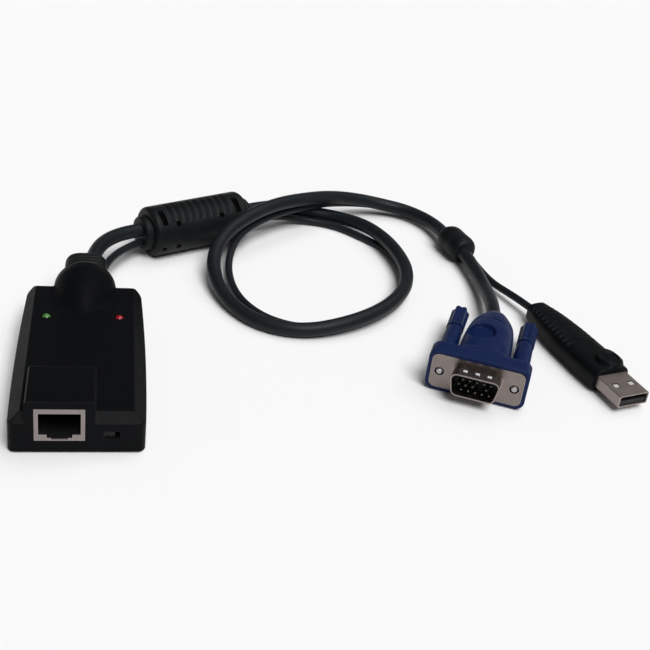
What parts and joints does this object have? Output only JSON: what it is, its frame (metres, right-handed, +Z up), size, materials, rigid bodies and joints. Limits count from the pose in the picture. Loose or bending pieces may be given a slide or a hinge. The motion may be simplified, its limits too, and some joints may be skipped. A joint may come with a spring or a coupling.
{
  "type": "kvm adapter dongle",
  "caption": "Small black server adapter: network jack on one end, ribbed boot on the other, with a looped video lead and USB lead that share a ferrite sleeve.",
  "frame": {"origin": "on the table under the middle of the housing, with its cable boot counted in", "axes": "+Z up, -Y out of the network jack, +X to the right when facing the jack's back from the jack side"},
  "size_m": [0.2059, 0.1704, 0.0213],
  "materials": {
    "housing_plastic": "fine-grained satin",
    "black_rubber": "satin",
    "cable_jacket": "satin",
    "jack_metal": "nickel plated",
    "black_plastic": "satin",
    "white_plastic": "satin",
    "gold_plating": "gold plated",
    "board_green": "solder mask",
    "green_lens": "tinted clear",
    "red_lens": "tinted clear",
    "steel": "plated",
    "capacitor_sleeve": "glossy",
    "wire_jacket": "glossy",
    "ferrite": "sintered",
    "hood_blue": "satin",
    "plug_metal": "tin plated"
  },
  "bodies": {
    "adapter": {"top_cover": "housing_plastic", "bottom_cover": "housing_plastic", "cable_boot": "black_rubber", "ferrite_sleeve": "black_rubber", "cable_collar": "black_rubber", "usb_boot": "black_rubber", "video_cable": "cable_jacket", "usb_cable": "cable_jacket", "rj45_shield": "jack_metal", "rj45_insert": "black_plastic", "vga_insert": "black_plastic", "mode_switch": "black_plastic", "usb_tongue": "black_plastic", "main_chip": "black_plastic", "usb_chip": "black_plastic", "line_transformer": "black_plastic", "vga_header": "black_plastic", "usb_header": "white_plastic", "rj45_contacts": "gold_plating", "usb_contacts": "gold_plating", "circuit_board": "board_green", "link_led": "green_lens", "power_led": "red_lens", "cover_screws": "steel", "crystal": "steel", "vga_pins": "steel", "board_capacitors": "capacitor_sleeve", "inner_wires": "wire_jacket", "ferrite_core": "ferrite", "vga_hood": "hood_blue", "vga_shell": "plug_metal", "usb_shell": "plug_metal"},
    "left_thumbscrew": {"left_screw": "steel", "left_knob": "hood_blue"},
    "right_thumbscrew": {"right_screw": "steel", "right_knob": "hood_blue"},
    "slider": {"switch_slider": "black_plastic"}
  },
  "joints": [
    {"name": "left_thumbscrew_turn", "type": "hinge", "parent": "adapter", "child": "left_thumbscrew", "pos_m": [0.11511, -0.01145, 0.008], "axis": [0.4131, 0.9107, 0], "continuous": true},
    {"name": "right_thumbscrew_turn", "type": "hinge", "parent": "adapter", "child": "right_thumbscrew", "pos_m": [0.13787, -0.02178, 0.008], "axis": [0.4131, 0.9107, 0], "continuous": true},
    {"name": "switch_slide", "type": "slide", "parent": "adapter", "child": "slider", "axis": [1, 0, 0], "range_m": [0, 0.0014]}
  ]
}
